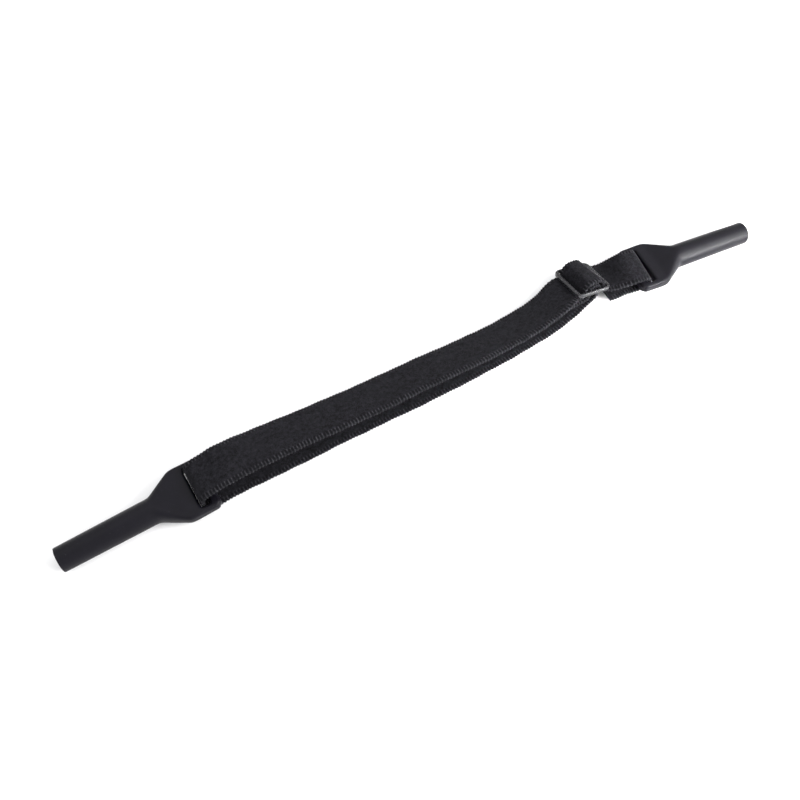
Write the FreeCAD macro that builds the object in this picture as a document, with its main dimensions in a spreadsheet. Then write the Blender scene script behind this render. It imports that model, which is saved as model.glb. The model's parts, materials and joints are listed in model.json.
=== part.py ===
import FreeCAD, Part
import math
import os
import Sketcher
from FreeCAD import Placement, Rotation, Vector

# Adjustable elastic glasses retainer lying on a table: two rubber temple sleeves, one woven
# elastic band that runs doubled between the first sleeve and a three-bar slide, and single
# from the slide to the second sleeve.
#
# Frame: millimetres, +X from the first (near) sleeve's mouth to the second (far) sleeve's
# mouth, +Z up, table at Z = 0. Every piece is laid out about the middle of the line between
# the two mouths; the origin_shift cells then move the whole object so that the origin is the
# middle of its box, which is 205 long.

SIZES = {
    # whole object
    "mouth_spacing": 204.5,
    "origin_shift_x": -0.099,
    "origin_shift_y": -3.756,
    # temple sleeve, measured from its mouth along its own axis
    "axis_height": 3.35,
    "mouth_diameter": 6.3,
    "tube_diameter": 6.7,
    "tube_length": 23.4,
    "bore_diameter": 4.0,
    "bore_depth": 20.0,
    "bore_lead_in": 0.3,
    "bore_cone": 1.2,
    "flare_end": 29.8,
    "sleeve_length": 38.1,
    "paddle_width": 14.8,
    "paddle_root_thickness": 3.2,
    "paddle_end_thickness": 2.4,
    "paddle_corner": 0.8,
    "slot_start": 33.3,
    "slot_length": 2.4,
    "slot_width": 11.6,
    "slot_corner": 0.5,
    "crossbar_round": 0.7,
    "near_yaw": 2.4,
    "far_y": -0.6,
    "far_yaw": -6.0,
    "far_slope": 0.3,
    "far_loop_skew": 5.0,
    # woven elastic band
    "band_width": 10.8,
    "band_thickness": 1.1,
    # three-bar slide and where it lies
    "slide_x": 50.0,
    "slide_y": 7.0,
    "slide_height": 5.0,
    "slide_slope": -7.0,
    "slide_roll": 13.0,
    "slide_skew": -5.0,
    "frame_length": 11.0,
    "frame_width": 12.9,
    "frame_thickness": 1.2,
    "frame_corner": 1.8,
    "end_bar": 1.1,
    "centre_bar": 1.2,
    "window_width": 11.5,
    "window_corner": 0.4,
    "frame_edge_round": 0.3,
    # sewing
    "tack_length": 1.6,
    "tack_width": 8.6,
    "tack_height": 0.2,
}

doc = FreeCAD.newDocument("glasses_retainer")
sheet = doc.addObject("Spreadsheet::Sheet", "Sizes")
for row, (alias, value) in enumerate(SIZES.items(), start=1):
    sheet.set(f"A{row}", alias)
    sheet.set(f"B{row}", str(value))
    sheet.setAlias(f"B{row}", alias)
doc.recompute()


def cell(alias):
    return float(sheet.get(alias))


# ---------------------------------------------------------------- frames

def band_frame(x, y, z, yaw=0.0, slope=0.0, roll=0.0):
    """A frame at x, y, z whose X runs along the band: yaw turns it about Z, slope lifts its
    +X end, roll lifts its -Y edge."""
    turn = Rotation(Vector(0, 0, 1), yaw) * Rotation(Vector(0, -1, 0), slope)
    return Placement(Vector(x, y, z), turn * Rotation(Vector(-1, 0, 0), roll))


def slope_between(start, end):
    return math.degrees(math.atan2(end[1] - start[1], end[0] - start[0]))


MOVED = Placement(Vector(cell("origin_shift_x"), cell("origin_shift_y"), 0), Rotation())
HALF_LENGTH = cell("mouth_spacing") / 2
# Both sleeves' own X runs from the mouth towards the band; the slide's runs along the band.
NEAR = MOVED * band_frame(-HALF_LENGTH, 0, cell("axis_height"), yaw=cell("near_yaw"))
FAR = MOVED * band_frame(
    HALF_LENGTH,
    cell("far_y"),
    cell("axis_height"),
    yaw=180 + cell("far_yaw"),
    slope=cell("far_slope"),
)
SLIDE = MOVED * band_frame(
    cell("slide_x"),
    cell("slide_y"),
    cell("slide_height"),
    slope=cell("slide_slope"),
    roll=cell("slide_roll"),
)
# The slide sits askew on the band that it holds.
SKEWED_SLIDE = SLIDE * band_frame(0, 0, 0, yaw=cell("slide_skew"))
# The band runs askew through the far sleeve's slot: its loop's frame is the sleeve's, turned
# about the slot's middle.
SLOT_MIDDLE = cell("slot_start") + cell("slot_length") / 2
FAR_TURNED = FAR * band_frame(SLOT_MIDDLE, 0, 0, yaw=-cell("far_loop_skew"))
FAR_BAND = FAR_TURNED * band_frame(-SLOT_MIDDLE, 0, 0)

# A sketch on a body's YZ plane has its own x along Y, its y along Z and its normal along X.
YZ_SKETCH = Placement(Vector(), Rotation(Vector(0, 1, 0), Vector(0, 0, 1), Vector(1, 0, 0), "XYZ"))


# ---------------------------------------------------------------- sketches

def new_body(label, placement=None):
    body = doc.addObject("PartDesign::Body", label)
    body.Label = label
    if placement:
        body.Placement = placement
    return body


def origin_plane(body, role):
    return next(item for item in body.Origin.OriginFeatures if item.Role == role)


def new_sketch(body, name, role):
    sketch = body.newObject("Sketcher::SketchObject", name)
    sketch.AttachmentSupport = [(origin_plane(body, role), "")]
    sketch.MapMode = "FlatFace"
    return sketch


def bind(sketch, constraint, formula):
    sketch.setExpression(f"Constraints[{constraint}]", formula)


def closed_outline(sketch, corners):
    """Straight sides from corner to corner, joined end to end."""
    count = len(corners)
    for side in range(count):
        sketch.addGeometry(Part.LineSegment(corners[side], corners[(side + 1) % count]))
    for side in range(count):
        joined = Sketcher.Constraint("Coincident", side, 2, (side + 1) % count, 1)
        sketch.addConstraint(joined)


def bind_distances(sketch, *distances):
    """Sizes between two points, each given as (side, end), and the cell's formula for it."""
    for kind, start, end, size, formula in distances:
        made = sketch.addConstraint(Sketcher.Constraint(kind, *start, *end, size))
        bind(sketch, made, formula)


def rounded_rectangle(sketch, width, height, corner, formulas, centre=(0.0, 0.0)):
    """A rectangle with round corners. formulas are the cells' formulas for width, height
    and corner, in that order; the centre is held where it is drawn."""
    cx, cy = centre
    a, b, r = width / 2, height / 2, corner
    sides = [
        ((-a + r, -b), (a - r, -b)),
        ((a, -b + r), (a, b - r)),
        ((a - r, b), (-a + r, b)),
        ((-a, b - r), (-a, -b + r)),
    ]
    first = sketch.GeometryCount
    for start, end in sides:
        sketch.addGeometry(
            Part.LineSegment(
                Vector(cx + start[0], cy + start[1], 0), Vector(cx + end[0], cy + end[1], 0)
            )
        )
    middles = [(a - r, -b + r), (a - r, b - r), (-a + r, b - r), (-a + r, -b + r)]
    for quarter, (mx, my) in enumerate(middles):
        circle = Part.Circle(Vector(cx + mx, cy + my, 0), Vector(0, 0, 1), r)
        begin = (quarter - 1) * math.pi / 2
        sketch.addGeometry(Part.ArcOfCircle(circle, begin, begin + math.pi / 2))
    for side in range(4):
        line, arc, following = first + side, first + 4 + side, first + (side + 1) % 4
        sketch.addConstraint(Sketcher.Constraint("Tangent", line, 2, arc, 1))
        sketch.addConstraint(Sketcher.Constraint("Tangent", arc, 2, following, 1))
        direction = "Horizontal" if side % 2 == 0 else "Vertical"
        sketch.addConstraint(Sketcher.Constraint(direction, line))
        if side:
            sketch.addConstraint(Sketcher.Constraint("Equal", first + 4, arc))
    wide = sketch.addConstraint(
        Sketcher.Constraint("DistanceX", first + 3, 1, first + 1, 1, width)
    )
    high = sketch.addConstraint(
        Sketcher.Constraint("DistanceY", first, 1, first + 2, 1, height)
    )
    round_ = sketch.addConstraint(Sketcher.Constraint("Radius", first + 4, r))
    if (cx, cy) == (0.0, 0.0):
        sketch.addConstraint(
            Sketcher.Constraint("Symmetric", first, 1, first + 2, 1, -1, 1)
        )
    else:
        sketch.addConstraint(
            Sketcher.Constraint("DistanceX", -1, 1, first + 4, 3, cx + a - r)
        )
        sketch.addConstraint(
            Sketcher.Constraint("DistanceY", -1, 1, first + 5, 3, cy + b - r)
        )
    for constraint, formula in zip((wide, high, round_), formulas):
        bind(sketch, constraint, formula)
    return sketch


def rectangle(sketch, width, height, formulas):
    """A sharp rectangle about the sketch's origin, with the cells' formulas for its sides."""
    a, b = width / 2, height / 2
    corners = [Vector(-a, -b, 0), Vector(a, -b, 0), Vector(a, b, 0), Vector(-a, b, 0)]
    closed_outline(sketch, corners)
    for side in range(4):
        direction = "Horizontal" if side % 2 == 0 else "Vertical"
        sketch.addConstraint(Sketcher.Constraint(direction, side))
    wide = sketch.addConstraint(Sketcher.Constraint("DistanceX", 0, 1, 0, 2, width))
    high = sketch.addConstraint(Sketcher.Constraint("DistanceY", 1, 1, 1, 2, height))
    sketch.addConstraint(Sketcher.Constraint("Symmetric", 0, 1, 1, 2, -1, 1))
    bind(sketch, wide, formulas[0])
    bind(sketch, high, formulas[1])
    return sketch


def band_section(body, name, frame):
    """The band's cross-section in a frame whose X runs along the band."""
    sketch = new_sketch(body, name, "YZ_Plane")
    sketch.AttachmentOffset = YZ_SKETCH.inverse() * frame * YZ_SKETCH
    return rectangle(
        sketch,
        cell("band_width"),
        cell("band_thickness"),
        ("Sizes.band_width", "Sizes.band_thickness"),
    )


# ---------------------------------------------------------------- temple sleeves

def edges_where(feature, wanted):
    """Names of the feature's edges whose middle point the test accepts."""
    names = []
    for index, edge in enumerate(feature.Shape.Edges, start=1):
        middle = edge.valueAt((edge.FirstParameter + edge.LastParameter) / 2)
        if wanted(edge, middle):
            names.append(f"Edge{index}")
    return names


# The tube's round end is drawn as a square with such round corners that this much of each
# side stays straight, so that the loft joins side to side and corner to corner.
FLAT = 0.02
# Edges are told apart by where their middles lie, to within this distance.
NEARLY = 0.01


def temple_sleeve(label, placement):
    body = new_body(label, placement)
    # round tube, slightly thicker at its root
    profile = new_sketch(body, f"{label}_tube_profile", "XZ_Plane")
    length, mouth, root = cell("tube_length"), cell("mouth_diameter") / 2, cell("tube_diameter") / 2
    corners = [Vector(0, 0, 0), Vector(length, 0, 0), Vector(length, root, 0), Vector(0, mouth, 0)]
    closed_outline(profile, corners)
    profile.addConstraint(Sketcher.Constraint("Coincident", 0, 1, -1, 1))
    profile.addConstraint(Sketcher.Constraint("Horizontal", 0))
    profile.addConstraint(Sketcher.Constraint("Vertical", 1))
    profile.addConstraint(Sketcher.Constraint("Vertical", 3))
    bind_distances(
        profile,
        ("DistanceX", (0, 1), (0, 2), length, "Sizes.tube_length"),
        ("DistanceY", (1, 1), (1, 2), root, "Sizes.tube_diameter / 2"),
        ("DistanceY", (3, 2), (3, 1), mouth, "Sizes.mouth_diameter / 2"),
    )
    tube = body.newObject("PartDesign::Revolution", f"{label}_tube")
    tube.Profile = profile
    tube.ReferenceAxis = (profile, ["H_Axis"])
    tube.Angle = 360
    # flare and paddle: straight-sided loft from the tube's round end to a flat paddle
    sections = []
    for name, width, height, corner, station in (
        ("flare_root", "tube_diameter", "tube_diameter", None, "tube_length"),
        ("paddle_root", "paddle_width", "paddle_root_thickness", "paddle_corner", "flare_end"),
        ("paddle_end", "paddle_width", "paddle_end_thickness", "paddle_corner", "sleeve_length"),
    ):
        sketch = new_sketch(body, f"{label}_{name}", "YZ_Plane")
        sketch.setExpression("AttachmentOffset.Base.z", f"Sizes.{station}")
        round_size = cell(corner) if corner else cell(width) / 2 - FLAT
        round_formula = f"Sizes.{corner}" if corner else f"Sizes.{width} / 2 - {FLAT}"
        rounded_rectangle(
            sketch,
            cell(width),
            cell(height),
            round_size,
            (f"Sizes.{width}", f"Sizes.{height}", round_formula),
        )
        sections.append(sketch)
    paddle = body.newObject("PartDesign::AdditiveLoft", f"{label}_paddle")
    paddle.Profile = sections[0]
    paddle.Sections = sections[1:]
    paddle.Ruled = True
    # slot for the band
    slot_sketch = new_sketch(body, f"{label}_slot_sketch", "XY_Plane")
    rounded_rectangle(
        slot_sketch,
        cell("slot_length"),
        cell("slot_width"),
        cell("slot_corner"),
        ("Sizes.slot_length", "Sizes.slot_width", "Sizes.slot_corner"),
        centre=(cell("slot_start") + cell("slot_length") / 2, 0.0),
    )
    slot = body.newObject("PartDesign::Pocket", f"{label}_slot")
    slot.Profile = slot_sketch
    slot.Type = "ThroughAll"
    slot.Midplane = True
    # blind bore that grips the temple tip, with a lead-in at the mouth and a drill's cone
    profile = new_sketch(body, f"{label}_bore_profile", "XZ_Plane")
    depth, radius, lead_in = cell("bore_depth"), cell("bore_diameter") / 2, cell("bore_lead_in")
    wall_end = depth - cell("bore_cone")
    corners = [
        Vector(0, 0, 0),
        Vector(depth, 0, 0),
        Vector(wall_end, radius, 0),
        Vector(lead_in, radius, 0),
        Vector(0, radius + lead_in, 0),
    ]
    closed_outline(profile, corners)
    profile.addConstraint(Sketcher.Constraint("Coincident", 0, 1, -1, 1))
    profile.addConstraint(Sketcher.Constraint("Horizontal", 0))
    profile.addConstraint(Sketcher.Constraint("Horizontal", 2))
    profile.addConstraint(Sketcher.Constraint("Vertical", 4))
    bind_distances(
        profile,
        ("DistanceX", (0, 1), (0, 2), depth, "Sizes.bore_depth"),
        ("DistanceX", (1, 2), (0, 2), cell("bore_cone"), "Sizes.bore_cone"),
        ("DistanceY", (0, 2), (1, 2), radius, "Sizes.bore_diameter / 2"),
        ("DistanceX", (0, 1), (2, 2), lead_in, "Sizes.bore_lead_in"),
        ("DistanceY", (2, 2), (3, 2), lead_in, "Sizes.bore_lead_in"),
    )
    bore = body.newObject("PartDesign::Groove", f"{label}_bore")
    bore.Profile = profile
    bore.ReferenceAxis = (profile, ["H_Axis"])
    bore.Angle = 360
    doc.recompute()
    # the crossbar's edges are rounded where the band turns round it
    slot_end = cell("slot_start") + cell("slot_length")

    def on_crossbar(edge, middle):
        along = edge.BoundBox.YLength > cell("slot_width") / 2
        beside_slot = abs(middle.x - slot_end) < NEARLY
        at_end = abs(middle.x - cell("sleeve_length")) < NEARLY
        off_middle = abs(middle.z) > cell("paddle_end_thickness") / 4
        return along and (beside_slot or at_end) and off_middle

    rounding = body.newObject("PartDesign::Fillet", f"{label}_crossbar_round")
    rounding.Base = (bore, edges_where(bore, on_crossbar))
    rounding.setExpression("Radius", "Sizes.crossbar_round")
    return body


# ---------------------------------------------------------------- three-bar slide

def three_bar_slide(label, placement):
    body = new_body(label, placement)
    outline = rounded_rectangle(
        new_sketch(body, f"{label}_outline", "XY_Plane"),
        cell("frame_length"),
        cell("frame_width"),
        cell("frame_corner"),
        ("Sizes.frame_length", "Sizes.frame_width", "Sizes.frame_corner"),
    )
    plate = body.newObject("PartDesign::Pad", f"{label}_plate")
    plate.Profile = outline
    plate.setExpression("Length", "Sizes.frame_thickness")
    plate.Midplane = True
    window_length = (cell("frame_length") - 2 * cell("end_bar") - cell("centre_bar")) / 2
    middle = (window_length + cell("centre_bar")) / 2
    formulas = (
        "(Sizes.frame_length - 2 * Sizes.end_bar - Sizes.centre_bar) / 2",
        "Sizes.window_width",
        "Sizes.window_corner",
    )
    for side, name in ((-1, "near"), (1, "far")):
        window = rounded_rectangle(
            new_sketch(body, f"{label}_{name}_window", "XY_Plane"),
            window_length,
            cell("window_width"),
            cell("window_corner"),
            formulas,
            centre=(side * middle, 0.0),
        )
        cut = body.newObject("PartDesign::Pocket", f"{label}_{name}_cut")
        cut.Profile = window
        cut.Type = "ThroughAll"
        cut.Midplane = True
    doc.recompute()
    half = cell("frame_thickness") / 2

    def on_face(edge, middle_point):
        return abs(abs(middle_point.z) - half) < NEARLY and edge.BoundBox.ZLength < NEARLY

    rounding = body.newObject("PartDesign::Fillet", f"{label}_edge_round")
    rounding.Base = (cut, edges_where(cut, on_face))
    rounding.setExpression("Radius", "Sizes.frame_edge_round")
    return body


# ---------------------------------------------------------------- band

NO_RUN = 1e-6


def rounded_route(points, radii):
    """Straight runs through the points, joined by tangent arcs of the given radii. Two arcs
    may meet with no straight run between them."""
    route, start = [], Vector(*points[0])
    for before, corner, after, radius in zip(points, points[1:], points[2:], radii):
        corner = Vector(*corner)
        to_before = (Vector(*before) - corner).normalize()
        to_after = (Vector(*after) - corner).normalize()
        half_angle = to_before.getAngle(to_after) / 2
        tangent = radius / math.tan(half_angle)
        inward = (to_before + to_after).normalize()
        arc_start = corner + to_before * tangent
        arc_end = corner + to_after * tangent
        arc_middle = corner + inward * (radius / math.sin(half_angle) - radius)
        if start.distanceToPoint(arc_start) > NO_RUN:
            route.append(Part.LineSegment(start, arc_start))
        route.append(Part.Arc(arc_start, arc_middle, arc_end))
        start = arc_end
    route.append(Part.LineSegment(start, Vector(*points[-1])))
    return route


def folded_band(label, placement, points, radii):
    """Band swept along a route in the placement's own X-Z plane. Returns the body."""
    body = new_body(label, placement)
    path = new_sketch(body, f"{label}_path", "XZ_Plane")
    flat = [(x, z, 0.0) for x, z in points]
    for piece in rounded_route(flat, radii):
        path.addGeometry(piece)
    for index in range(path.GeometryCount):
        path.addConstraint(Sketcher.Constraint("Block", index))
    (x, z), following = points[:2]
    start = band_frame(x, 0, z, slope=slope_between((x, z), following))
    section = band_section(body, f"{label}_section", start)
    doc.recompute()
    pipe = body.newObject("PartDesign::AdditivePipe", f"{label}_sweep")
    pipe.Profile = section
    pipe.Spine = (path, [f"Edge{i + 1}" for i in range(path.GeometryCount)])
    return body


def running_band(label, frames):
    """Band lofted straight from one frame to the next along a free stretch."""
    body = new_body(label)
    sections = [
        band_section(body, f"{label}_section_{index}", frame)
        for index, frame in enumerate(frames)
    ]
    loft = body.newObject("PartDesign::AdditiveLoft", f"{label}_loft")
    loft.Profile = sections[0]
    loft.Sections = sections[1:]
    loft.Ruled = True
    return body


# ---------------------------------------------------------------- band's folds and runs

# Each route lists the middle of the band, as (distance along X, height), in the X-Z plane of
# the sleeve or slide that the fold belongs to, with the radius of the turn at each inner point.
# Each loop comes in over the crossbar, goes down through the slot and leaves underneath.
NEAR_LOOP = [(46.5, 4.6), (41.0, 4.7), (34.05, 3.4), (34.05, -2.78), (46.5, -2.78)]
NEAR_LOOP_TURNS = (6.0, 2.0, 1.6)
FAR_LOOP = [(40.5, 1.6), (39.0, 2.0), (34.4, 2.0), (34.4, -2.0), (40.5, -2.05)]
FAR_LOOP_TURNS = (3.0, 1.6, 1.6)
# Over the slide's centre bar: under one end bar, over the sewn loop, under the other end bar.
OVER_BAR = [(-6.6, -1.25), (-3.4, -1.25), (-2.7, 2.6), (2.7, 2.6), (3.4, -1.25), (5.0, -1.25)]
OVER_BAR_TURNS = (1.0, 1.9, 1.9, 1.0)
# The sewn loop: in below the slide, up round the centre bar and back between the two runs.
BAR_LOOP = [
    (-2.0, -3.6),
    (0.2, -3.3),
    (1.75, -1.6),
    (1.75, 1.2),
    (-1.75, 1.2),
    (-1.75, -2.3),
    (-7.5, -3.2),
]
BAR_LOOP_TURNS = (1.2, 1.2, 1.1, 1.1, 0.8)



def loop_end(placement, inner, end):
    """The frame of a crossbar loop's cut face, with its X pointing away from the sleeve."""
    return placement * band_frame(end[0], 0, end[1], slope=slope_between(inner, end))


def facing_back(frame):
    """The same cut face seen by a run that goes the other way round."""
    return frame * Placement(Vector(), Rotation(Vector(0, 0, 1), 180))


def stations(rows):
    return [MOVED * band_frame(*row) for row in rows]


# The two long runs between the near sleeve and the slide: middle of the band as
# x, y, height, yaw, slope, roll. The first station of each is where the long run begins; the
# short piece before it is where the strap's stretch is taken up.
UPPER_STATIONS = [
    (-45, 2.4, 6.6, -1, -4, 9),
    (-31, 2.3, 5.65, -1, -3, 11),
    (-18, 2.2, 5.0, 0, -1, 11),
    (-5, 2.3, 5.1, 0, 0, 14),
    (10, 2.2, 4.4, 1, -3, 15),
    (22, 2.7, 3.7, 4, -1, 16.5),
    (33, 3.75, 3.7, 8, 2, 17),
    (38.5, 4.6, 4.15, 9, 4, 16),
]
LOWER_STATIONS = [
    (-45, 1.7, 0.57, -1, 0, 0),
    (-31, 1.95, 0.57, 0, 0, 0),
    (-18, 1.8, 0.57, 0, 0, 0),
    (-5, 1.6, 0.57, 0, 0, 0),
    (10, 1.9, 0.57, 1, 0, 0),
    (22, 2.45, 0.57, 4, 0, 0),
    (33, 3.3, 0.57, 8, 0, 0),
    (39.5, 4.2, 0.8, 11, 3, 2),
    (45.3, 5.3, 1.2, 13, 5, 5),
]


def long_runs():
    over, under = stations(UPPER_STATIONS), stations(LOWER_STATIONS)
    (x, z), bar_side = BAR_LOOP[:2]
    into_slide = SLIDE * band_frame(OVER_BAR[0][0], 0, OVER_BAR[0][1])
    into_loop = SLIDE * band_frame(x, 0, z, slope=slope_between((x, z), bar_side))
    from_upper = loop_end(NEAR, NEAR_LOOP[1], NEAR_LOOP[0])
    from_lower = loop_end(NEAR, *NEAR_LOOP[-2:])
    return [
        running_band("band_upper_stretch", [from_upper, over[0]]),
        running_band("band_lower_stretch", [from_lower, under[0]]),
        running_band("band_upper_run", [*over, into_slide]),
        running_band("band_lower_run", [*under, into_loop]),
    ]


# The single run from the slide to the far sleeve turns aside as it leaves the slide.
TAIL_STATIONS = [
    (57.2, 5.7, 3.0, -14, 12, 11),
]


def tail_run():
    x, z = OVER_BAR[-1]
    between = stations(TAIL_STATIONS)
    last = facing_back(loop_end(FAR_BAND, FAR_LOOP[1], FAR_LOOP[0]))
    return running_band("band_tail_run", [SLIDE * band_frame(x, 0, z), *between, last])


HEM_STATIONS = [
    (55.7, 4.7, 0.9, -9, 1, 3),
    (59.4, 4.45, 1.0, -11, 2, 3),
]


def far_hem():
    between = stations(HEM_STATIONS)
    last = facing_back(loop_end(FAR_BAND, *FAR_LOOP[-2:]))
    return running_band("band_far_hem", [*between, last])


# ---------------------------------------------------------------- sewing

TACK_CLEARANCE = 0.02
# How far along its straight piece of band each tack sits, as a share.
ADJUSTER_TACK, FAR_TACK = 0.25, 0.42


def bar_tack(label, placement):
    """A dense bar of stitches, lying on the band."""
    body = new_body(label, placement)
    sketch = rectangle(
        new_sketch(body, f"{label}_outline", "XY_Plane"),
        cell("tack_length"),
        cell("tack_width"),
        ("Sizes.tack_length", "Sizes.tack_width"),
    )
    pad = body.newObject("PartDesign::Pad", f"{label}_pad")
    pad.Profile = sketch
    pad.setExpression("Length", "Sizes.tack_height")
    return body


def on_band(placement, start, end, share, side):
    """A frame on the band's face, a share of the way along a straight piece of its route.
    side is 1 for the face on the route's left, seen from -Y, and -1 for the other."""
    slope = slope_between(start, end)
    x = start[0] + share * (end[0] - start[0])
    z = start[1] + share * (end[1] - start[1])
    lift = side * (cell("band_thickness") / 2 + TACK_CLEARANCE)
    face = placement * band_frame(x, 0, z, slope=slope) * Placement(Vector(0, 0, lift), Rotation())
    return face if side > 0 else face * Placement(Vector(), Rotation(Vector(1, 0, 0), 180))


# ---------------------------------------------------------------- the retainer

bodies = [
    temple_sleeve("near_sleeve", NEAR),
    temple_sleeve("far_sleeve", FAR),
    three_bar_slide("adjuster_frame", SKEWED_SLIDE),
    folded_band("band_near_loop", NEAR, NEAR_LOOP, NEAR_LOOP_TURNS),
    *long_runs(),
    folded_band("band_over_bar", SLIDE, OVER_BAR, OVER_BAR_TURNS),
    folded_band("band_bar_loop", SLIDE, BAR_LOOP, BAR_LOOP_TURNS),
    tail_run(),
    folded_band("band_far_loop", FAR_BAND, FAR_LOOP, FAR_LOOP_TURNS),
    far_hem(),
    bar_tack("adjuster_bartack", on_band(SLIDE, BAR_LOOP[-1], BAR_LOOP[-2], ADJUSTER_TACK, 1)),
    bar_tack("far_bartack", on_band(FAR_BAND, *FAR_LOOP[-2:], FAR_TACK, -1)),
]

doc.recompute()
for item in doc.Objects:
    if "Invalid" in item.State or "Error" in item.State:
        raise RuntimeError(f"{item.Label} failed: {item.State}")
for body in bodies:
    if body.Shape.isNull() or not body.Shape.isValid() or len(body.Shape.Solids) != 1:
        raise RuntimeError(f"{body.Label} isn't one valid solid")

os.makedirs("parts", exist_ok=True)
whole = FreeCAD.BoundBox()
for body in bodies:
    body.Shape.exportStep(f"parts/{body.Label}.step")
    whole.add(body.Shape.BoundBox)
    print(f"{body.Label}: {body.Shape.Volume:.1f} cubic mm, lowest {body.Shape.BoundBox.ZMin:.3f}")
print("box", whole)
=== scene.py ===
import json
import math

import bmesh
import bpy
import numpy as np
from mathutils import Matrix, Vector


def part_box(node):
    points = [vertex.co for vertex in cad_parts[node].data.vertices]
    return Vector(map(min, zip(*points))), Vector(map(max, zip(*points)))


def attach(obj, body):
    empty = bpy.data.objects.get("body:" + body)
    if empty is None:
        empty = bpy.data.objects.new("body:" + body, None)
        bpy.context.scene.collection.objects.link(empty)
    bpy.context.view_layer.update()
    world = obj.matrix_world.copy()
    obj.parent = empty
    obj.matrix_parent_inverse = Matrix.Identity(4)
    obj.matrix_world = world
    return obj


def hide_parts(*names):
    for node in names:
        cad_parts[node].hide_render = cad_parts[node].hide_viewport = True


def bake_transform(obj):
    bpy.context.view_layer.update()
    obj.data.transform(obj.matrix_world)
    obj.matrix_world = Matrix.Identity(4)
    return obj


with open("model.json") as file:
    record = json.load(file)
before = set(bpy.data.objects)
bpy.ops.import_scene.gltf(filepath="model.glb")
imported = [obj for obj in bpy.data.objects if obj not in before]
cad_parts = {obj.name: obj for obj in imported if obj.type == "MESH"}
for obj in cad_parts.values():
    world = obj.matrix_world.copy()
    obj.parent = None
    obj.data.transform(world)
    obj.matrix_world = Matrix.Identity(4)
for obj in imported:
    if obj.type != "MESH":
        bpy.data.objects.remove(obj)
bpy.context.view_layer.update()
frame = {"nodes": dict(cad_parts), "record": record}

# Lengths below are in millimetres; a mesh is scaled to metres when its piece is made.
MM = 0.001
record = frame["record"]
rng = np.random.default_rng(7)


# ---------------------------------------------------------------- frames

def turn(degrees, axis):
    return Matrix.Rotation(math.radians(degrees), 4, Vector(axis))


def band_frame(x, y, z, yaw=0.0, slope=0.0, roll=0.0):
    """A frame at x, y, z whose X runs along the band: yaw turns it about Z, slope lifts its
    +X end, roll lifts its -Y edge. The CAD source lays the band out in the same frames."""
    place = Matrix.Translation((x, y, z))
    return place @ turn(yaw, (0, 0, 1)) @ turn(slope, (0, -1, 0)) @ turn(roll, (-1, 0, 0))


# The chamfered way into a bore, between its wall and the sleeve's mouth.
BORE_LEAD_IN = 0.3


def sleeve_frame(mount_name):
    """A sleeve's frame: origin at the middle of its mouth, X towards the band."""
    mount = next(m for m in record["mounts"] if m["name"] == mount_name)
    out = Vector(mount["axis"]).normalized()
    mouth = Vector(mount["pos_m"]) / MM + out * (mount["dims"]["length_mm"] / 2 + BORE_LEAD_IN)
    along = -out
    yaw = math.degrees(math.atan2(along.y, along.x))
    slope = math.degrees(math.asin(along.z))
    return band_frame(*mouth, yaw=yaw, slope=slope)


def middle(node):
    low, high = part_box(node)
    return (low + high) / 2 / MM


NEAR = sleeve_frame("near_temple_bore")
FAR = sleeve_frame("far_temple_bore")
# The band runs askew through the far sleeve's slot: its loop's frame is the sleeve's, turned
# about the slot's middle.
SLOT_MIDDLE, FAR_LOOP_SKEW = 34.5, 5.0
FAR_TURNED = FAR @ band_frame(SLOT_MIDDLE, 0, 0, yaw=-FAR_LOOP_SKEW)
FAR_BAND = FAR_TURNED @ band_frame(-SLOT_MIDDLE, 0, 0)
SLIDE = band_frame(*middle("adjuster_frame"), slope=-7.0, roll=13.0)
# The stations below are given in the CAD source's sketch frame; this moves them to its origin.
SHIFT = Matrix.Translation((-0.099, -3.756, 0.0))

BAND_WIDTH, BAND_THICKNESS, EDGE_ROUND = 11.0, 1.1, 0.16
# The ribs of the woven edge: their pitch and how many rings of points make one.
RIB_PITCH, RIB_STEPS = 0.87, 10


# ---------------------------------------------------------------- band's line

# The same points as the CAD source's routes: (distance along X, height) in a sleeve's or the
# slide's own X-Z plane, with the radius of the turn at each inner point.
NEAR_LOOP = [(46.5, 4.6), (41.0, 4.7), (34.05, 3.4), (34.05, -2.78), (46.5, -2.78)]
NEAR_LOOP_TURNS = (6.0, 2.0, 1.6)
FAR_LOOP = [(40.5, 1.6), (39.0, 2.0), (34.4, 2.0), (34.4, -2.0), (40.5, -2.05)]
FAR_LOOP_TURNS = (3.0, 1.6, 1.6)
OVER_BAR = [(-6.6, -1.25), (-3.4, -1.25), (-2.7, 2.6), (2.7, 2.6), (3.4, -1.25), (5.0, -1.25)]
OVER_BAR_TURNS = (1.0, 1.9, 1.9, 1.0)
BAR_LOOP = [
    (-2.0, -3.6),
    (0.2, -3.3),
    (1.75, -1.6),
    (1.75, 1.2),
    (-1.75, 1.2),
    (-1.75, -2.3),
    (-7.5, -3.2),
]
BAR_LOOP_TURNS = (1.2, 1.2, 1.1, 1.1, 0.8)
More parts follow.
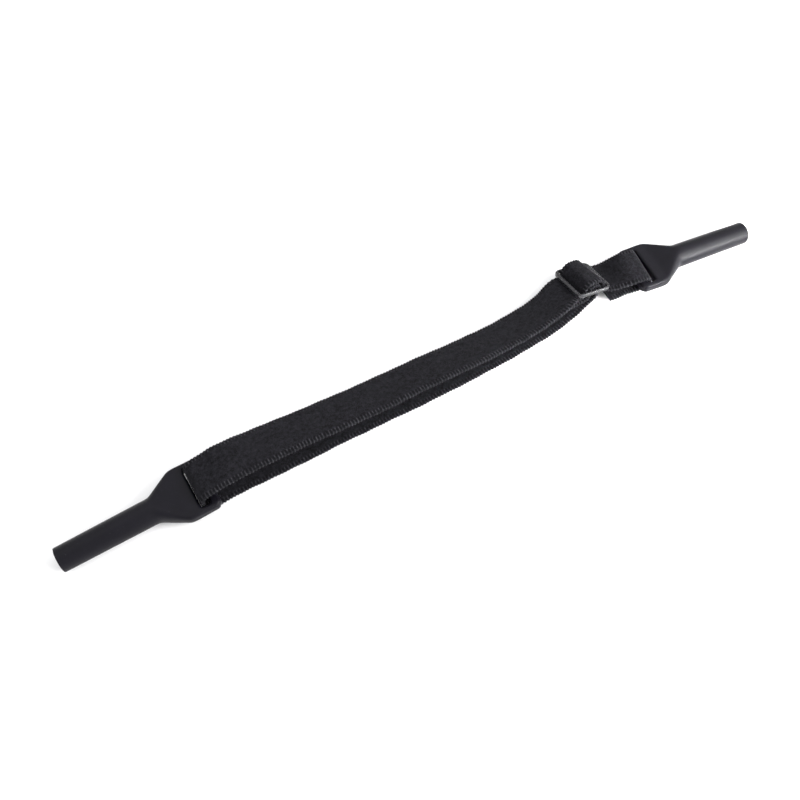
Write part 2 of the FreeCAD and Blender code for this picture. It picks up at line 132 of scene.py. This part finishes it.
# x, y, height of the band's middle, yaw, slope, roll
UPPER_STATIONS = [
    (-45, 2.4, 6.6, -1, -4, 9),
    (-31, 2.3, 5.65, -1, -3, 11),
    (-18, 2.2, 5.0, 0, -1, 11),
    (-5, 2.3, 5.1, 0, 0, 14),
    (10, 2.2, 4.4, 1, -3, 15),
    (22, 2.7, 3.7, 4, -1, 16.5),
    (33, 3.75, 3.7, 8, 2, 17),
    (38.5, 4.6, 4.15, 9, 4, 16),
]
LOWER_STATIONS = [
    (-45, 1.7, 0.57, -1, 0, 0),
    (-31, 1.95, 0.57, 0, 0, 0),
    (-18, 1.8, 0.57, 0, 0, 0),
    (-5, 1.6, 0.57, 0, 0, 0),
    (10, 1.9, 0.57, 1, 0, 0),
    (22, 2.45, 0.57, 4, 0, 0),
    (33, 3.3, 0.57, 8, 0, 0),
    (39.5, 4.2, 0.8, 11, 3, 2),
    (45.3, 5.3, 1.2, 13, 5, 5),
]
TAIL_STATIONS = [
    (57.2, 5.7, 3.0, -14, 12, 11),
]
HEM_STATIONS = [
    (55.7, 4.7, 0.9, -9, 1, 3),
    (59.4, 4.45, 1.0, -11, 2, 3),
]

# The line is laid with a point every STEP, and points closer than SAME_POINT count as one.
STEP, SAME_POINT = 0.25, 1e-4
# How far the line is eased, as the spread in millimetres of the average that replaces each
# point: little at a fold, much along a free run.
FOLD_EASE, TAIL_EASE, RUN_EASE = 0.35, 1.2, 4.0
EASE_BLEND_ROUNDS = 60


def rounded_route(points, radii):
    """Points every STEP along straight runs joined by tangent arcs."""
    out = [np.array(points[0], float)]

    def straight_to(end):
        start = out[-1]
        count = max(1, int(np.linalg.norm(end - start) / STEP))
        for k in range(1, count + 1):
            out.append(start + (end - start) * k / count)

    for before, corner, after, radius in zip(points, points[1:], points[2:], radii):
        corner = np.array(corner, float)
        back = np.array(before) - corner
        ahead = np.array(after) - corner
        back /= np.linalg.norm(back)
        ahead /= np.linalg.norm(ahead)
        half = math.acos(np.clip(back @ ahead, -1, 1)) / 2
        tangent = radius / math.tan(half)
        bisector = (back + ahead) / np.linalg.norm(back + ahead)
        centre = corner + bisector * radius / math.sin(half)
        start, end = corner + back * tangent, corner + ahead * tangent
        straight_to(start)
        sweep = math.pi - 2 * half
        first = math.atan2(*(start - centre)[::-1])
        side = np.sign(back[0] * ahead[1] - back[1] * ahead[0])
        count = max(2, int(radius * sweep / STEP))
        for k in range(1, count + 1):
            angle = first - side * sweep * k / count
            out.append(centre + radius * np.array([math.cos(angle), math.sin(angle)]))
    straight_to(np.array(points[-1], float))
    return out


def in_frame(placement, route, width_sign=1):
    """(points, width directions) of a flat route laid in a frame's X-Z plane."""
    points = [np.array(placement @ Vector((x, 0, z))) for x, z in route]
    across = np.array(placement.to_3x3() @ Vector((0, width_sign, 0)))
    return points, [across] * len(points)


def along_stations(rows):
    """(points, width directions) of a stretch that twists from station to station."""
    points, across = [], []
    for row in rows:
        placement = SHIFT @ band_frame(*row)
        points.append(np.array(placement.translation))
        across.append(np.array(placement.to_3x3() @ Vector((0, 1, 0))))
    return points, across


class Line:
    """The middle line of the whole band, from its end sewn at the slide to its end sewn at the
    far sleeve, with the direction of its width and how much each point is eased."""

    def __init__(self):
        self.points, self.across, self.ease = [], [], []
        self.marks = {}

    def mark(self, name):
        self.marks[name] = len(self.points) - 1

    def add(self, points, across, ease):
        for point, width in zip(points, across):
            if self.points:
                start, begin = self.points[-1], self.across[-1]
                gap = np.linalg.norm(point - start)
                if gap < SAME_POINT:
                    continue
                count = max(1, int(round(gap / STEP)))
                for k in range(1, count):
                    share = k / count
                    self.points.append(start + (point - start) * share)
                    self.across.append(begin + (width - begin) * share)
                    self.ease.append(ease)
            self.points.append(point)
            self.across.append(width)
            self.ease.append(ease)

    def settle(self):
        """Eases the line, then spaces its points evenly by the rib pitch."""
        points, across = np.array(self.points), np.array(self.across)
        ease = np.array(self.ease)
        for _ in range(EASE_BLEND_ROUNDS):
            ease[1:-1] = (ease[:-2] + 2 * ease[1:-1] + ease[2:]) / 4
        rate = (ease / ease.max()) ** 2 / 2
        rounds = int(2 * (ease.max() / STEP) ** 2)
        for _ in range(rounds):
            for values in (points, across):
                pull = (values[:-2] + values[2:]) / 2 - values[1:-1]
                values[1:-1] += rate[1:-1, None] * pull
        gaps = np.linalg.norm(np.diff(points, axis=0), axis=1)
        length = np.concatenate([[0], np.cumsum(gaps)])
        whole = length[-1]
        count = int(round(whole / RIB_PITCH)) * RIB_STEPS
        at = np.linspace(0, whole, count + 1)
        self.at = at
        self.middle = np.stack([np.interp(at, length, points[:, k]) for k in range(3)], 1)
        tangent = np.gradient(self.middle, axis=0)
        tangent /= np.linalg.norm(tangent, axis=1)[:, None]
        width = np.stack([np.interp(at, length, across[:, k]) for k in range(3)], 1)
        width -= tangent * np.sum(width * tangent, axis=1)[:, None]
        width /= np.linalg.norm(width, axis=1)[:, None]
        self.tangent, self.width = tangent, width
        self.normal = np.cross(tangent, width)
        self.cut = {}
        for name, index in self.marks.items():
            rib = round(length[index] / whole * count / RIB_STEPS)
            self.cut[name] = rib * RIB_STEPS


def make_line():
    line = Line()
    line.add(*in_frame(SLIDE, rounded_route(BAR_LOOP[::-1], BAR_LOOP_TURNS[::-1])), FOLD_EASE)
    line.mark("bar_loop")
    line.add(*along_stations(LOWER_STATIONS[::-1]), RUN_EASE)
    line.mark("lower_run")
    points, across = in_frame(NEAR, rounded_route(NEAR_LOOP, NEAR_LOOP_TURNS)[::-1])
    line.add(points[:1], across[:1], RUN_EASE / 2)
    line.mark("lower_stretch")
    line.add(points, across, FOLD_EASE)
    line.mark("near_loop")
    points, across = along_stations(UPPER_STATIONS)
    line.add(points[:1], across[:1], RUN_EASE / 2)
    line.mark("upper_stretch")
    line.add(points[1:], across[1:], RUN_EASE)
    hump = in_frame(SLIDE, rounded_route(OVER_BAR, OVER_BAR_TURNS))
    line.add(hump[0][:1], hump[1][:1], RUN_EASE / 2)
    line.mark("upper_run")
    line.add(*hump, FOLD_EASE)
    line.mark("over_bar")
    line.add(*along_stations(TAIL_STATIONS), TAIL_EASE)
    points, across = in_frame(FAR_BAND, rounded_route(FAR_LOOP, FAR_LOOP_TURNS), -1)
    line.add(points[:1], across[:1], TAIL_EASE)
    line.mark("tail_run")
    line.add(points, across, FOLD_EASE)
    line.mark("far_loop")
    line.add(*along_stations(HEM_STATIONS[::-1]), FOLD_EASE)
    line.mark("far_hem")
    line.settle()
    return line


# ---------------------------------------------------------------- meshes

def piece(name, mesh, slot, node, body=None):
    """Puts a mesh, given in millimetres, into the scene as the piece that replaces a CAD node. It
    rides on the body, if one is given."""
    mesh.transform(Matrix.Scale(MM, 4))
    obj = bpy.data.objects.new(name, mesh)
    bpy.context.scene.collection.objects.link(obj)
    mesh.polygons.foreach_set("use_smooth", [True] * len(mesh.polygons))
    mesh.materials.clear()
    mesh.materials.append(MATERIALS[slot])
    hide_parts(node)
    if body:
        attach(obj, body)
    return obj


# The selvage begins this far out from the band's middle, fades in over this width and lies this
# much lower than the napped middle.
SELVAGE_START, SELVAGE_FADE, SELVAGE_DROP = 4.3, 0.3, 0.09
SECTION_SPOTS = (0.0, 1.4, 2.7, 3.8, 4.3, 4.45, 4.6, 4.8, 5.0, 5.2)
EDGE_FULLNESS = 0.6
# Picots are small loops of weft that stand out along both edges.
PICOT_REACH, PICOT_START, PICOT_DIP = 0.12, 5.0, -0.4
RIB_SWELL = 0.12
# (depth, wavelength / 2 pi, phase) of the waves by which a woven edge wanders
EDGE_WAVES = ((0.05, 2.3, 0.0), (0.04, 0.9, 1.0))
WANDER_START = 3.0


def band_section():
    """Points round the band's section as (across, up, how far it is into the selvage)."""
    half, thick = BAND_WIDTH / 2, BAND_THICKNESS / 2
    top = []
    for spot in SECTION_SPOTS:
        selvage = np.clip((spot - SELVAGE_START) / SELVAGE_FADE, 0, 1)
        top.append((spot, thick - SELVAGE_DROP * selvage, selvage))
    for angle in (math.radians(30), math.radians(60)):
        out = half - EDGE_ROUND * (1 - math.sin(angle))
        top.append((out, (thick - SELVAGE_DROP) * math.cos(angle) ** EDGE_FULLNESS, 1.0))
    top.append((half, 0.0, 1.0))
    right = top + [(x, -z, selvage) for x, z, selvage in top[-2::-1]]
    left = [(-x, z, selvage) for x, z, selvage in right[-2:0:-1]]
    return right + left


def band_mesh(name, line, first, last):
    """The band from one cut to the next, with its ribbed selvages."""
    section = np.array(band_section())
    rings = np.arange(first, last + 1)
    count, around = len(rings), len(section)
    rib = np.cos(2 * math.pi * rings / RIB_STEPS)
    across, up, selvage = section.T
    outer = np.abs(across)
    picot = PICOT_REACH * np.clip(rib, PICOT_DIP, 1)[:, None] * (outer > PICOT_START)[None, :]
    wave = sum(depth * np.sin(line.at[rings] / size + lag) for depth, size, lag in EDGE_WAVES)
    wander = wave[:, None] * (outer > WANDER_START)[None, :]
    x = across[None, :] + np.sign(across)[None, :] * (picot + wander)
    z = up[None, :] * (1 + RIB_SWELL * rib[:, None] * selvage[None, :])
    centre = line.middle[rings]
    place = centre[:, None, :] + x[..., None] * line.width[rings][:, None, :]
    place = place + z[..., None] * line.normal[rings][:, None, :]
    verts = place.reshape(-1, 3)
    faces = []
    for ring in range(count - 1):
        a, b = ring * around, (ring + 1) * around
        for k in range(around):
            n = (k + 1) % around
            faces.append((a + k, a + n, b + n, b + k))
    for ring, order in ((0, -1), (count - 1, 1)):
        faces.append(tuple(range(ring * around, (ring + 1) * around))[::order])
    mesh = bpy.data.meshes.new(name)
    mesh.from_pydata(verts.tolist(), [], faces)
    mesh.validate()
    for label, values in (
        ("selvage", np.tile(selvage, count)),
        ("rib", np.repeat(rib, around)),
    ):
        layer = mesh.attributes.new(label, "FLOAT", "POINT")
        layer.data.foreach_set("value", values.astype(np.float32))
    return mesh


def evaluated(data, modifiers=()):
    """The mesh that a mesh or curve makes, after modifiers given as (type, {property: value})."""
    work = bpy.data.objects.new("work", data)
    bpy.context.scene.collection.objects.link(work)
    for kind, values in modifiers:
        modifier = work.modifiers.new(kind, kind)
        for key, value in values.items():
            setattr(modifier, key, value)
    bpy.context.view_layer.update()
    graph = bpy.context.evaluated_depsgraph_get()
    made = bpy.data.meshes.new_from_object(work.evaluated_get(graph))
    bpy.data.objects.remove(work)
    return made


WELD_DISTANCE = 0.0005


def cad_copy(node):
    """A copy of a CAD node's mesh, in millimetres, with its shared corners welded."""
    mesh = frame["nodes"][node].data.copy()
    mesh.transform(Matrix.Scale(1 / MM, 4))
    weld = bmesh.new()
    weld.from_mesh(mesh)
    bmesh.ops.remove_doubles(weld, verts=weld.verts, dist=WELD_DISTANCE)
    weld.to_mesh(mesh)
    weld.free()
    return mesh


def read_points(mesh):
    points = np.zeros(len(mesh.vertices) * 3, np.float32)
    mesh.vertices.foreach_get("co", points)
    return points.reshape(-1, 3).astype(float)


def write_points(mesh, points):
    mesh.vertices.foreach_set("co", points.astype(np.float32).ravel())
    mesh.update()


def moulded(mesh, voxel, rounds):
    """The mesh remeshed and eased, so that its edges are soft as a moulding's are."""
    remesh = ("REMESH", {"mode": "VOXEL", "voxel_size": voxel})
    smooth = ("SMOOTH", {"factor": 0.5, "iterations": rounds})
    return evaluated(mesh, [remesh, smooth])


# A sleeve's length, half its paddle's width, where its tube ends and its flare ends, and the
# radius of its paddle's end corners in plan.
SLEEVE_LENGTH, PADDLE_HALF = 38.1, 7.4
TUBE_END, FLARE_END = 23.4, 29.8
END_CORNER = 1.5


def round_end_corners(points):
    """Rounds the paddle's two end corners in plan."""
    x = points[:, 0] - (SLEEVE_LENGTH - END_CORNER)
    y = np.abs(points[:, 1]) - (PADDLE_HALF - END_CORNER)
    reach = np.hypot(x, y)
    inside = (x > 0) & (y > 0)
    outer = np.maximum(x, y)
    scale = outer[inside] / reach[inside]
    points[inside, 0] = SLEEVE_LENGTH - END_CORNER + x[inside] * scale
    side = np.sign(points[inside, 1])
    points[inside, 1] = side * (PADDLE_HALF - END_CORNER + y[inside] * scale)
    return points


# The moulding's root blends softly into its paddle: how far each way the blend reaches from the
# flare, and how many rounds of easing make it.
BLEND_REACH, BLEND_ROUNDS = 2.4, 110


def soften_flare(mesh, points):
    """Eases the surface where the round tube becomes the flat paddle."""
    x = points[:, 0]
    rise = np.clip((x - TUBE_END + BLEND_REACH) / BLEND_REACH, 0, 1)
    fall = np.clip((FLARE_END + BLEND_REACH - x) / BLEND_REACH, 0, 1)
    weight = np.minimum(rise, fall) ** 2 / 2
    edges = np.zeros(len(mesh.edges) * 2, np.int32)
    mesh.edges.foreach_get("vertices", edges)
    first, second = edges.reshape(-1, 2).T
    inside = np.maximum(weight[first], weight[second]) > 0
    first, second = first[inside], second[inside]
    count = len(points)
    degree = np.bincount(first, minlength=count) + np.bincount(second, minlength=count)
    degree = np.maximum(degree, 1)
    for _ in range(BLEND_ROUNDS):
        for axis in range(3):
            value = points[:, axis]
            total = np.bincount(first, value[second], count)
            total += np.bincount(second, value[first], count)
            points[:, axis] = value + weight * (total / degree - value)
    return points


# ---------------------------------------------------------------- materials

class Shader:
    """A Principled material with small helpers for its nodes."""

    def __init__(self, name, colour, roughness):
        self.material = bpy.data.materials.new(name)
        self.material.use_nodes = True
        self.tree = self.material.node_tree
        self.principled = self.tree.nodes["Principled BSDF"]
        self.principled.inputs["Base Color"].default_value = (*colour, 1)
        self.principled.inputs["Roughness"].default_value = roughness
        self.colour = colour
        coordinates = self.tree.nodes.new("ShaderNodeTexCoord")
        mapping = self.tree.nodes.new("ShaderNodeMapping")
        mapping.inputs["Scale"].default_value = (1 / MM, 1 / MM, 1 / MM)
        self.tree.links.new(coordinates.outputs["Object"], mapping.inputs["Vector"])
        self.place = mapping.outputs["Vector"]

    def link(self, source, target):
        self.tree.links.new(source, target)

    def node(self, kind, values=None, **properties):
        made = self.tree.nodes.new(kind)
        for key, value in properties.items():
            setattr(made, key, value)
        for key, value in (values or {}).items():
            if isinstance(value, bpy.types.NodeSocket):
                self.link(value, made.inputs[key])
            else:
                made.inputs[key].default_value = value
        return made

    def noise(self, size, detail=3.0, rough=0.55):
        """Noise whose blotches are about size millimetres across."""
        values = {"Vector": self.place, "Scale": 1 / size, "Detail": detail, "Roughness": rough}
        return self.node("ShaderNodeTexNoise", values).outputs["Fac"]

    def spread(self, source, low, high, to_low=0.0, to_high=1.0):
        values = {
            "Value": source,
            "From Min": low,
            "From Max": high,
            "To Min": to_low,
            "To Max": to_high,
        }
        return self.node("ShaderNodeMapRange", values).outputs["Result"]

    def maths(self, operation, a, b=0.0):
        return self.node("ShaderNodeMath", {0: a, 1: b}, operation=operation).outputs[0]

    def tint(self, factor, low, high):
        """The material's colour, from low to high times its own, by the factor."""
        ramp = self.node("ShaderNodeMix", {"Factor": factor}, data_type="RGBA")
        ramp.inputs["A"].default_value = (*(c * low for c in self.colour), 1)
        ramp.inputs["B"].default_value = (*(c * high for c in self.colour), 1)
        return ramp.outputs["Result"]

    def over(self, factor, below, colour):
        mix = self.node("ShaderNodeMix", {"Factor": factor, "A": below}, data_type="RGBA")
        mix.inputs["B"].default_value = (*colour, 1)
        return mix.outputs["Result"]

    def bump(self, *layers):
        """Bump from (height, depth in millimetres) layers."""
        normal = None
        for height, depth in layers:
            values = {"Height": height, "Distance": depth * MM, "Strength": 1.0}
            if normal:
                values["Normal"] = normal
            normal = self.node("ShaderNodeBump", values).outputs["Normal"]
        self.link(normal, self.principled.inputs["Normal"])


def set_values(shader, **values):
    for key, value in values.items():
        shader.principled.inputs[key.replace("_", " ")].default_value = value


def silicone():
    s = Shader("silicone", (0.0044, 0.004, 0.0066), 0.42)
    cloud, grain = s.noise(5.0), s.noise(0.35, 4.0)
    fine = s.noise(0.12, 2.0)
    colour = s.tint(s.spread(cloud, 0.3, 0.7), 0.86, 1.16)
    # Convex edges are painted lighter: partly edge wear, partly a painted highlight along the
    # moulding's edges.
    edges = s.node("ShaderNodeNewGeometry").outputs["Pointiness"]
    wear_and_painted_highlight = s.spread(edges, 0.53, 0.60, 0.0, 0.35)
    colour = s.over(wear_and_painted_highlight, colour, (0.02, 0.02, 0.025))
    specks = s.spread(s.noise(0.22, 2.0), 0.735, 0.77, 0.0, 0.5)
    colour = s.over(specks, colour, (0.09, 0.09, 0.1))
    s.link(colour, s.principled.inputs["Base Color"])
    s.link(s.spread(grain, 0.3, 0.7, 0.38, 0.5), s.principled.inputs["Roughness"])
    s.bump((cloud, 0.05), (grain, 0.02), (fine, 0.006))
    set_values(s, Specular_IOR_Level=0.14)
    return s.material


def gloss_plastic():
    s = Shader("gloss_plastic", (0.012, 0.012, 0.0145), 0.28)
    cloud, fine = s.noise(2.0), s.noise(0.25, 3.0)
    colour = s.tint(s.spread(cloud, 0.3, 0.7), 0.88, 1.14)
    # Convex edges are painted lighter: a painted highlight along the slide's bars.
    edges = s.node("ShaderNodeNewGeometry").outputs["Pointiness"]
    colour = s.over(s.spread(edges, 0.54, 0.62, 0.0, 0.4), colour, (0.09, 0.09, 0.1))
    s.link(colour, s.principled.inputs["Base Color"])
    s.link(s.spread(fine, 0.3, 0.7, 0.18, 0.34), s.principled.inputs["Roughness"])
    s.bump((cloud, 0.02), (fine, 0.004))
    return s.material


def elastic():
    s = Shader("elastic", (0.0078, 0.0076, 0.0094), 0.92)
    selvage = s.node("ShaderNodeAttribute", attribute_name="selvage").outputs["Fac"]
    nap, tuft, cloud = s.noise(0.28, 4.0, 0.65), s.noise(0.9, 3.0), s.noise(7.0)
    thread = s.noise(0.1, 2.0)
    mixed = s.maths("ADD", s.maths("MULTIPLY", nap, 0.6), s.maths("MULTIPLY", tuft, 0.4))
    colour = s.tint(s.spread(mixed, 0.38, 0.62), 0.2, 2.1)
    colour = s.over(s.spread(cloud, 0.35, 0.7, 0.0, 0.25), colour, (0.012, 0.012, 0.0145))
    # the middle is brushed to a nap; the selvages stay woven, in threads across the band
    ribs = s.node("ShaderNodeAttribute", attribute_name="rib").outputs["Fac"]
    crest = s.maths("MULTIPLY", s.spread(ribs, -0.1, 0.9), selvage)
    colour = s.over(s.maths("MULTIPLY", selvage, 0.7), colour, (0.004, 0.004, 0.005))
    shown = s.maths("MULTIPLY", crest, s.spread(tuft, 0.38, 0.62, 0.12, 0.62))
    colour = s.over(shown, colour, (0.055, 0.054, 0.061))
    lint = s.spread(s.noise(0.17, 2.0), 0.74, 0.78, 0.0, 0.45)
    colour = s.over(lint, colour, (0.11, 0.11, 0.12))
    s.link(colour, s.principled.inputs["Base Color"])
    s.link(s.spread(nap, 0.3, 0.7, 0.82, 1.0), s.principled.inputs["Roughness"])
    s.bump((tuft, 0.10), (nap, 0.12), (thread, 0.03), (crest, 0.04))
    set_values(s, Sheen_Weight=0.03, Sheen_Roughness=0.5, Specular_IOR_Level=0.06)
    s.principled.inputs["Sheen Tint"].default_value = (0.75, 0.76, 0.8, 1)
    return s.material


def sewing_thread():
    s = Shader("sewing_thread", (0.014, 0.014, 0.016), 0.6)
    lay, cloud = s.noise(0.08, 3.0), s.noise(1.2)
    colour = s.tint(s.spread(cloud, 0.3, 0.7), 0.8, 1.3)
    s.link(colour, s.principled.inputs["Base Color"])
    s.link(s.spread(lay, 0.3, 0.7, 0.5, 0.75), s.principled.inputs["Roughness"])
    s.bump((lay, 0.03),)
    return s.material


def floor_paper():
    s = Shader("floor_paper", (0.94, 0.94, 0.945), 0.9)
    s.link(s.tint(s.spread(s.noise(30.0), 0.3, 0.7), 0.995, 1.005), s.principled.inputs["Base Color"])
    set_values(s, Specular_IOR_Level=0.1)
    return s.material


# by material slot
MATERIALS = {
    "rubber": silicone(),
    "slide": gloss_plastic(),
    "elastic": elastic(),
    "thread": sewing_thread(),
}


# ---------------------------------------------------------------- band

line = make_line()
# Each length of the band in order: its name, and the body it rides on or the two bodies it is
# blended between.
BAND_PIECES = [
    ("bar_loop", ("adjuster",)),
    ("lower_run", ("adjuster", "band")),
    ("lower_stretch", ("band", "near_anchor")),
    ("near_loop", ("near_anchor", "near_sleeve")),
    ("upper_stretch", ("near_anchor", "band")),
    ("upper_run", ("band", "adjuster")),
    ("over_bar", ("adjuster",)),
    ("tail_run", ("adjuster", "tail")),
    ("far_loop", ("tail", "far_sleeve")),
    ("far_hem", ("tail",)),
]


def place_band():
    first = 0
    for name, bodies in BAND_PIECES:
        last = line.cut[name]
        rides_on = bodies[0] if len(bodies) == 1 else None
        mesh = band_mesh(f"elastic_{name}", line, first, last)
        made = piece(f"elastic_{name}", mesh, "elastic", f"band_{name}", rides_on)
        if not rides_on:
            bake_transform(made)
        first = last


place_band()


# ---------------------------------------------------------------- sleeves and slide

# (voxel size, rounds of easing) of each moulding's remesh
SLEEVE_FINISH, SLIDE_FINISH = (0.13, 5), (0.06, 12)


def sleeve_mesh(node, placement):
    mesh = moulded(cad_copy(node), *SLEEVE_FINISH)
    mesh.transform(placement.inverted())
    write_points(mesh, round_end_corners(soften_flare(mesh, read_points(mesh))))
    mesh.transform(placement)
    return mesh


def place_mouldings():
    for name, node, placement in (
        ("near_temple_sleeve", "near_sleeve", NEAR),
        ("far_temple_sleeve", "far_sleeve", FAR),
    ):
        piece(name, sleeve_mesh(node, placement), "rubber", node, body=node)
    slide = moulded(cad_copy("adjuster_frame"), *SLIDE_FINISH)
    piece("three_bar_slide", slide, "slide", "adjuster_frame", body="adjuster")


place_mouldings()


# ---------------------------------------------------------------- sewing

TACK_LENGTH, TACK_WIDTH, TACK_TURNS = 1.5, 8.4, 19
THREAD_RADIUS, THREAD_LIFT, STITCH_SPREAD = 0.13, 0.6, 0.03


def bar_tack(name, placement, body, node):
    """A bar tack: one thread that zigzags across the band."""
    curve = bpy.data.curves.new(name, "CURVE")
    curve.dimensions = "3D"
    curve.bevel_depth = THREAD_RADIUS
    curve.bevel_resolution = 2
    spline = curve.splines.new("POLY")
    points = []
    for k in range(TACK_TURNS * 2 + 1):
        y = -TACK_WIDTH / 2 + TACK_WIDTH * k / (TACK_TURNS * 2)
        x = TACK_LENGTH / 2 * (1 if k % 2 else -1) + rng.normal(0, STITCH_SPREAD)
        points.append((x, y, THREAD_RADIUS * THREAD_LIFT))
    spline.points.add(len(points) - 1)
    for spot, point in zip(spline.points, points):
        spot.co = (*point, 1)
    mesh = evaluated(curve)
    mesh.transform(placement)
    piece(name, mesh, "thread", node, body)


def on_face(node):
    """A frame on the band's face beneath a CAD bar tack, X along the band and Z outwards."""
    tack = np.array(middle(node))
    index = int(np.argmin(np.linalg.norm(line.middle - tack, axis=1)))
    z = line.normal[index] * np.sign(line.normal[index] @ (tack - line.middle[index]))
    x = line.tangent[index]
    spot = line.middle[index] + z * BAND_THICKNESS / 2
    rows = np.stack([x, np.cross(z, x), z, spot], 1)
    return Matrix([*rows.tolist(), [0, 0, 0, 1]])


bar_tack("slide_bar_tack", on_face("adjuster_bartack"), "adjuster", "adjuster_bartack")
bar_tack("far_bar_tack", on_face("far_bartack"), "far_sleeve", "far_bartack")


# ---------------------------------------------------------------- floor, light, camera

# in metres
FLOOR_REACH = 4.0
CAMERA_PLACE, CAMERA_LOOK = (-0.061899, -0.092156, 0.1767), (0.244, 0.436, -0.866)
CAMERA_LENS, SENSOR_WIDTH, CLIP_START, CLIP_END = 34.965, 36.0, 0.005, 20.0
# name: (place, point it faces, size, watts, spread in degrees)
LIGHTS = {
    "front_softbox": ((0.67, -0.55, 0.52), (0.09, 0, 0), (0.6, 0.5), 14.0, 180.0),
    "far_tube_strip": ((0.44, -0.9, 0.25), (0.09, 0, 0), (0.12, 0.12), 0.25, 14.0),
    "right_softbox": ((0.75, 0.05, 0.62), (0.08, 0, 0), (0.7, 0.6), 1.5, 180.0),
    "top_softbox": ((-0.2, 0.3, 0.9), (0, 0, 0), (0.8, 0.8), 1.5, 180.0),
}
WORLD_STRENGTH = 1.0


def add_stage():
    mesh = bpy.data.meshes.new("floor")
    reach = FLOOR_REACH
    corners = [(-reach, -reach, 0), (reach, -reach, 0), (reach, reach, 0), (-reach, reach, 0)]
    mesh.from_pydata(corners, [], [(0, 1, 2, 3)])
    mesh.materials.append(floor_paper())
    floor = bpy.data.objects.new("floor", mesh)
    bpy.context.scene.collection.objects.link(floor)


def add_light(name, place, target, size, power, spread):
    data = bpy.data.lights.new(name, "AREA")
    data.shape = "RECTANGLE"
    data.size, data.size_y = size
    data.energy = power
    data.spread = math.radians(spread)
    light = bpy.data.objects.new(name, data)
    light.location = place
    aim = Vector(target) - Vector(place)
    light.rotation_euler = aim.to_track_quat("-Z", "Y").to_euler()
    bpy.context.scene.collection.objects.link(light)


def add_world():
    world = bpy.data.worlds.new("studio")
    world.use_nodes = True
    background = world.node_tree.nodes["Background"]
    background.inputs["Color"].default_value = (1.0, 1.0, 1.0, 1)
    background.inputs["Strength"].default_value = WORLD_STRENGTH
    bpy.context.scene.world = world


def add_camera():
    data = bpy.data.cameras.new("camera")
    data.sensor_width, data.lens = SENSOR_WIDTH, CAMERA_LENS
    data.clip_start, data.clip_end = CLIP_START, CLIP_END
    camera = bpy.data.objects.new("camera", data)
    camera.location = CAMERA_PLACE
    look = Vector(CAMERA_LOOK).normalized()
    right = look.cross(Vector((0, 0, 1))).normalized()
    up = right.cross(look)
    camera.rotation_euler = Matrix((right, up, -look)).transposed().to_euler()
    bpy.context.scene.collection.objects.link(camera)
    bpy.context.scene.camera = camera


add_stage()
for light_name, settings in LIGHTS.items():
    add_light(light_name, *settings)
add_world()
add_camera()
bpy.context.scene.view_settings.view_transform = "Standard"
